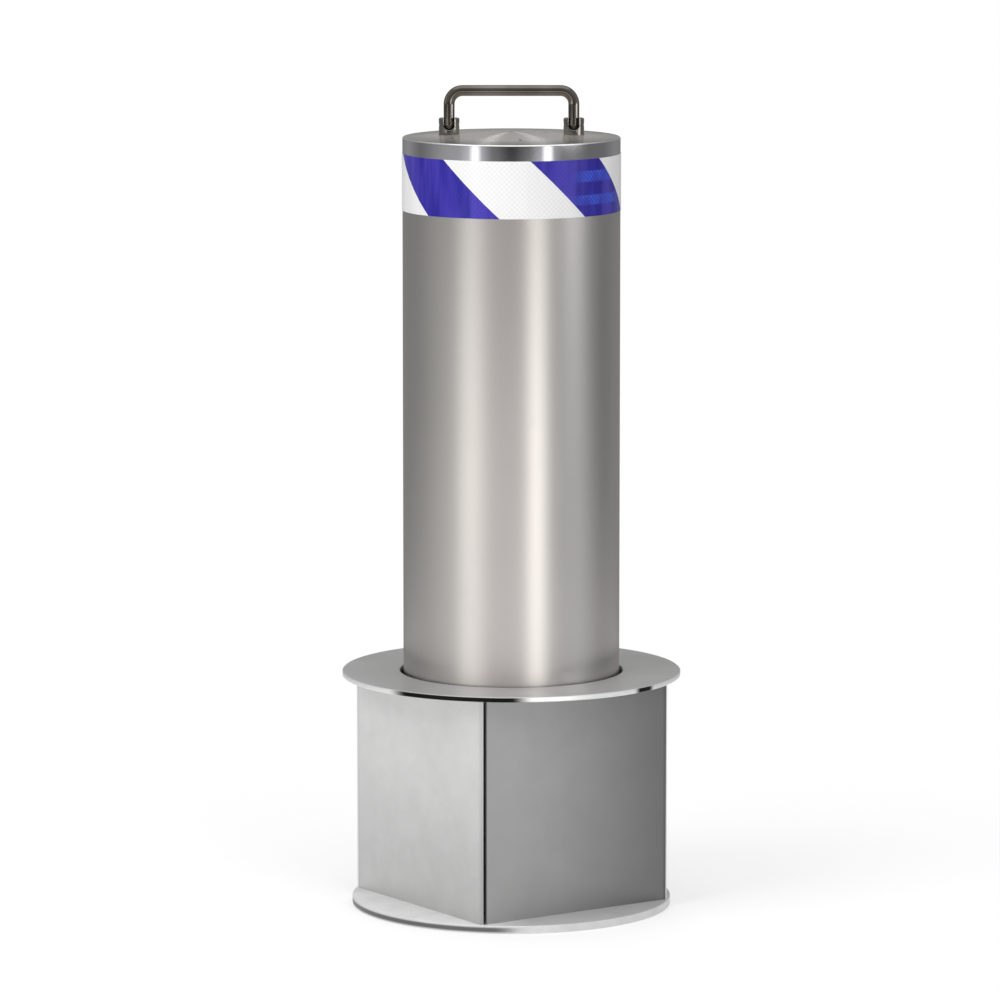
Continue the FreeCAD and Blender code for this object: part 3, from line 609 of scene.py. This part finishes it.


# Box: zinc-coated sheets, mottled, painted as lit and shaded copies, with painted shade drifting slowly
# across each sheet
boxLook = {
    "turn": -10.8,
    "half": 0.1134,
    "sheet": 0.0025,
    "metallic": 0.75,
    "roughness": 0.46,
    "mottle": (22, 4, 0.55),
    "mottleFade": (0.3, 0.7),
    "mottleTone": grey(0.15),
    "mottleShown": 0.06,
    "mottleRough": 0.1,
    "mottleBump": (0.05, 0.0005),
    "spangleScale": 75,
    "spangleTone": grey(0.2),
    "spangleShown": 0.05,
    "endInset": (0.006, 0.002),
    "endShadeTone": grey(0.05),
    "cutInset": (0.0016, 0.0008),
    "lowReach": (0.03, 0.2),
    "lowTone": grey(0.1),
}
sheetLooks = {
    # painted light: sheets facing one way are a lit copy, the others a shaded copy
    "sheetLight": {
        "names": ("panel_front_left", "panel_back_right"), "colour": grey(0.90), "far": grey(0.88),
        "driftFrom": (-0.15, -0.05), "lowShown": 0.34, "endWay": -45, "endTone": grey(0.7), "endShade": 0.1,
    },
    "sheetDark": {
        "names": ("panel_front_right", "panel_back_left"), "colour": grey(0.47), "far": grey(0.19),
        "driftFrom": (-0.01, 0.19), "lowShown": 0.14, "endWay": 45, "endTone": grey(0.85), "endShade": 0.4,
    },
}


def makeSheetFinish(name, look, box):
    finish = Finish(name, {"Metallic": box["metallic"]})
    across, along, up = finish.parts()
    mottle = finish.noise(*box["mottle"])
    cells = finish.add("ShaderNodeTexVoronoi", {"feature": "F1"},
                       {"Vector": finish.place(), "Scale": box["spangleScale"]})["Color"]
    spangle = finish.add("ShaderNodeRGBToBW", {}, {"Color": cells})["Val"]
    way = math.radians(box["turn"] + look["endWay"])
    fromCorner = box["half"] - abs(across * math.cos(way) + along * math.sin(way))
    layers = [
        # painted shade drifting across the sheet
        (across.fade(*look["driftFrom"]), look["far"]),
        (mottle.fade(*box["mottleFade"]) * box["mottleShown"], box["mottleTone"]),
        (spangle * box["spangleShown"], box["spangleTone"]),
        (fromCorner.fade(*box["endInset"]) * look["endShade"], box["endShadeTone"]),
        # painted highlight on the cut edge by the corner
        (fromCorner.fade(*box["cutInset"]), look["endTone"]),
        # painted shade, darker towards the bottom
        ((1 - up.fade(*box["lowReach"])) * look["lowShown"], box["lowTone"]),
    ]
    tone = look["colour"]
    for factor, colour in layers:
        tone = finish.blend(factor, tone, colour)
    finish.feed("Base Color", tone)
    finish.feed("Roughness", box["roughness"] + mottle * box["mottleRough"])
    finish.feed("Normal", finish.bump(mottle, *box["mottleBump"]))
    dress(finish, *look["names"])


for sheetName, sheetLook in sheetLooks.items():
    makeSheetFinish(sheetName, sheetLook, boxLook)


# Bottom disc: pale plate with painted light, brighter on one side, and a painted reflection on its cut edge,
# dark on one half
discLook = {
    "bright": grey(0.98),
    "dull": grey(0.66),
    "brightAngle": (-140, 35, 60),
    "metallic": 0.35,
    "roughness": 0.36,
    "mottle": (35, 4, 0.6),
    "mottleFade": (0.35, 0.7),
    "mottleTone": grey(0.2),
    "mottleShown": 0.12,
    "mottleRough": 0.1,
    "edgeBright": grey(0.80),
    "edgeDark": grey(0.13),
    "edgeLine": (0.0038, 0.0012, 0.0036),
    "edgeInset": (0.0009, 0.0003),
    "darkEdgeAngle": (-135, 38, 52),
}


def makeDiscFinish(look):
    finish = Finish("discSteel", {"Metallic": look["metallic"]})
    across, along, up = finish.parts()
    mottle = finish.noise(*look["mottle"])
    # painted light: the plate's top is painted brighter on one side and duller on the other
    brightWay, *brightReach = look["brightAngle"]
    paintedLitSide = 1 - turnedFrom(across, along, brightWay).fade(*brightReach)
    # painted reflection: the cut edge is painted dark on one half and bright on the other
    darkWay, *darkReach = look["darkEdgeAngle"]
    line = (1 - turnedFrom(across, along, darkWay).fade(*darkReach)) * up.within(*look["edgeLine"])
    edgeReflectionTone = finish.blend(line, look["edgeBright"], look["edgeDark"])
    onEdge = (radius["disc"] - lengthOf(across, along)).fade(*look["edgeInset"])
    tone = finish.blend(onEdge, finish.blend(paintedLitSide, look["dull"], look["bright"]), edgeReflectionTone)
    mottled = mottle.fade(*look["mottleFade"]) * look["mottleShown"]
    finish.feed("Base Color", finish.blend(mottled, tone, look["mottleTone"]))
    finish.feed("Roughness", look["roughness"] + mottle * look["mottleRough"])
    dress(finish, "base_disc")


makeDiscFinish(discLook)


# Reflective band: white and blue film, its cells sealed in a fine diamond grid, with painted highlights in
# two bands
filmLooks = {
    "tape_white": {
        "colour": grey(0.94), "dull": grey(0.90), "bright": grey(0.96),
        "ridge": (0.70, 0.70, 0.72), "ridgeShown": 0.6,
    },
    "tape_blue": {
        "colour": (0.062, 0.042, 0.44), "dull": (0.018, 0.012, 0.30), "bright": (0.05, 0.10, 0.72),
        "ridge": (0.008, 0.006, 0.17), "ridgeShown": 0.3,
    },
}
cellLook = {
    "shader": {"Roughness": 0.34, "Specular IOR Level": 0.35, "Coat Roughness": 0.25, "Coat Weight": 0.1},
    "pitch": 0.005,
    "ridge": 0.16,
    "ridgeBump": (0.1, 0.0001),
    "ridgeLit": 0.6,
    "streaks": (40, 3, 0.6, (1, 1, 0.12)),
    "streakFade": (0.4, 0.62),
    # two bands of painted highlight on the cells: height, half; and the angle that they reach: middle, flat,
    # end
    "bands": [(0.748, 0.0062), (0.7245, 0.0056)],
    "bandFlat": 0.75,
    "bandAngle": (-36, 9, 24),
    "bandNoise": (60, 2),
    "bandFade": (0.35, 0.6),
    "bandLeast": 0.45,
}


def makeFilm(node, look, cells):
    finish = Finish("film" + node.split("_")[1].title(), cells["shader"])
    across, along, up = finish.parts()
    angle = along.math("ARCTAN2", across)
    around = angle * radius["tape"]
    rising, falling = [(slant / cells["pitch"]).math("PINGPONG", 0.5) for slant in (around + up, around - up)]
    ridge = 1 - rising.math("MINIMUM", falling).fade(0, cells["ridge"])
    bands = total(up.within(centre, half * cells["bandFlat"], half) for centre, half in cells["bands"])
    uneven = finish.noise(*cells["bandNoise"]).fade(*cells["bandFade"]) * (1 - cells["bandLeast"])
    # painted highlight: cells painted brighter in two bands at one angle round the post
    lit = bands * inDegrees(angle).within(*cells["bandAngle"]) * (cells["bandLeast"] + uneven)
    streaks = finish.noise(*cells["streaks"]).fade(*cells["streakFade"])
    tone = finish.blend(lit, finish.blend(streaks, look["dull"], look["colour"]), look["bright"])
    tone = finish.blend(ridge * (look["ridgeShown"] + lit * cells["ridgeLit"]), tone, look["ridge"])
    finish.feed("Base Color", tone)
    finish.feed("Normal", finish.bump(ridge, *cells["ridgeBump"]))
    dress(finish, node)


for filmNode, filmLook in filmLooks.items():
    makeFilm(filmNode, filmLook, cellLook)


# Seal in the cap: black rubber
sealLook = {
    "colour": grey(0.03),
    "paler": grey(0.05),
    "grain": 200,
    "roughness": 0.7,
}


def makeSealFinish(look):
    finish = Finish("sealRubber", {"Roughness": look["roughness"]})
    finish.feed("Base Color", finish.blend(finish.noise(look["grain"]), look["colour"], look["paler"]))
    dress(finish, "spindle_seal")


makeSealFinish(sealLook)
print("finishes made")


# Welds inside the box: stitches along the bottom disc and the flange, and a seam up each closed corner
weldLook = {
    "stitchEnds": (0.062, 0.092),
    "seamEnds": 0.006,
    "sink": 0.0007,
    "spacing": 0.0021,
    "bead": 0.0021,
    "length": 0.8,
    "jitter": 0.25,
    "seed": 4,
}


def weldLines(look, box):  # pairs of end points, in metres
    inner = box["half"] - box["sheet"] - look["sink"]
    low, high = level["discTop"] + look["sink"], level["flangeBottom"] - look["sink"]
    seam = (low + look["seamEnds"], high - look["seamEnds"])
    lines = []
    for side in range(4):
        way = math.radians(box["turn"] + 45 + 90 * side)
        outwards = Vector((math.cos(way), math.sin(way), 0))
        sideways = Vector((-math.sin(way), math.cos(way), 0))
        for height in (low, high):
            for sign in (-1, 1):
                ends = [outwards * inner + sideways * sign * end for end in look["stitchEnds"]]
                lines.append([end + Vector((0, 0, height)) for end in ends])
        if side % 2 == 0:
            corner = (outwards - sideways) * inner
            lines.append([corner + Vector((0, 0, height)) for height in seam])
    return lines


def linesMesh(name, lines):
    mesh = bpy.data.meshes.new(name)
    points = [point for line in lines for point in line]
    mesh.from_pydata(points, [(2 * index, 2 * index + 1) for index in range(len(lines))], [])
    return mesh


class GeometryTree(NodeTree):
    def __init__(self, name, inputs):
        super().__init__(bpy.data.node_groups.new(name, "GeometryNodeTree"))
        sockets = self.tree.interface
        sockets.new_socket("Geometry", in_out="OUTPUT", socket_type="NodeSocketGeometry")
        sockets.new_socket("Geometry", in_out="INPUT", socket_type="NodeSocketGeometry")
        for label, kind in inputs.items():
            sockets.new_socket(label, in_out="INPUT", socket_type=kind)
        self.entry = self.tree.nodes.new("NodeGroupInput")
        self.exit = self.tree.nodes.new("NodeGroupOutput")

    def given(self, label):
        return Signal(self, self.entry.outputs[label])

    def finish(self, geometry):
        self.plug(self.exit.inputs["Geometry"], geometry)

    def bake(self, name, mesh, values):  # the tree's result on a mesh, as a plain mesh object
        carrier = bpy.data.objects.new(name + "Carrier", mesh)
        bpy.context.scene.collection.objects.link(carrier)
        modifier = carrier.modifiers.new(name, "NODES")
        modifier.node_group = self.tree
        for item in self.tree.interface.items_tree:
            if item.in_out == "INPUT" and item.name in values:
                modifier[item.identifier] = values[item.name]
        carrier.update_tag()
        evaluated = carrier.evaluated_get(bpy.context.evaluated_depsgraph_get())
        result = bpy.data.meshes.new_from_object(evaluated)
        carrier.modifiers.remove(modifier)
        bpy.data.objects.remove(carrier)
        piece = bpy.data.objects.new(name, result)
        bpy.context.scene.collection.objects.link(piece)
        return piece


def makeWeldTree():  # overlapping ripples along every line
    tree = GeometryTree("weldBead", {
        "Ripple Spacing": "NodeSocketFloat", "Ripple Length": "NodeSocketFloat",
        "Bead Radius": "NodeSocketFloat", "Jitter": "NodeSocketFloat", "Seed": "NodeSocketInt",
        "Material": "NodeSocketMaterial"})
    lines = tree.add("GeometryNodeMeshToCurve", {}, {"Mesh": tree.given("Geometry")})["Curve"]
    steps = tree.add("GeometryNodeResampleCurve", {"mode": "LENGTH"},
                     {"Curve": lines, "Length": tree.given("Ripple Spacing")})["Curve"]
    along = tree.add("GeometryNodeInputTangent")["Tangent"]
    facing = tree.add("FunctionNodeAlignRotationToVector", {"axis": "Z"}, {"Vector": along})["Rotation"]
    ripple = tree.add("GeometryNodeMeshUVSphere", {},
                      {"Segments": 10, "Rings": 6, "Radius": tree.given("Bead Radius")})["Mesh"]
    width = tree.add("FunctionNodeRandomValue", {"data_type": "FLOAT"}, {
        "Min_001": 1 - tree.given("Jitter"), "Max_001": 1.0, "Seed": tree.given("Seed")})["Value_001"]
    shape = tree.add("ShaderNodeCombineXYZ", {},
                     {"X": width, "Y": width, "Z": tree.given("Ripple Length")})["Vector"]
    beads = tree.add("GeometryNodeInstanceOnPoints", {},
                     {"Points": steps, "Instance": ripple, "Rotation": facing, "Scale": shape})["Instances"]
    solid = tree.add("GeometryNodeRealizeInstances", {}, {"Geometry": beads})["Geometry"]
    smooth = tree.add("GeometryNodeSetShadeSmooth", {}, {"Geometry": solid})["Geometry"]
    tree.finish(tree.add("GeometryNodeSetMaterial", {},
                         {"Geometry": smooth, "Material": tree.given("Material")})["Geometry"])
    return tree


def makeBoxWelds(look, box):
    piece = makeWeldTree().bake("boxWelds", linesMesh("boxWeldLines", weldLines(look, box)), {
        "Ripple Spacing": look["spacing"], "Ripple Length": look["length"], "Bead Radius": look["bead"],
        "Jitter": look["jitter"], "Seed": look["seed"], "Material": metals["weldSteel"]})
    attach(piece, "ground_socket")
    print("box welds:", len(piece.data.polygons), "faces")


makeBoxWelds(weldLook, boxLook)
